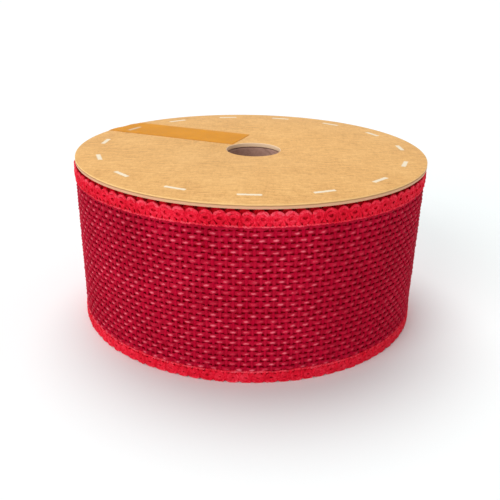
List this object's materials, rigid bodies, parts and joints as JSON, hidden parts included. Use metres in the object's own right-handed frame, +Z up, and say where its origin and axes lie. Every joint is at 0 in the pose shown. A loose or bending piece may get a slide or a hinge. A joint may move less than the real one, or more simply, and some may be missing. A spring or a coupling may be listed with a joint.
{
  "type": "roll of jute ribbon",
  "caption": "Roll of woven jute ribbon with scalloped edging, wound on a paper core, with a holed cardboard disc on top and a strip of sticky tape.",
  "frame": {"origin": "middle of the foot, where the wound ribbon's lower edge meets the ground", "axes": "+Z up along the core's axis, -Y towards the side that the picture shows, +X to its right"},
  "size_m": [0.139, 0.1384, 0.0662],
  "materials": {
    "kraft_board": "matt kraft board with fine fibres and a printed ring of pale dashes",
    "core_paper": "matt grey-brown wound paper",
    "jute_weave": "crimson open plain weave of thick soft yarn",
    "edging_yarn": "bright red crocheted cotton yarn",
    "sticky_tape": "amber see-through film with a light gloss"
  },
  "bodies": {
    "root": {"disc_top": "kraft_board", "core": "core_paper", "ribbon_roll": "jute_weave", "edging_top": "edging_yarn", "edging_bottom": "edging_yarn", "tape": "sticky_tape"}
  },
  "joints": []
}
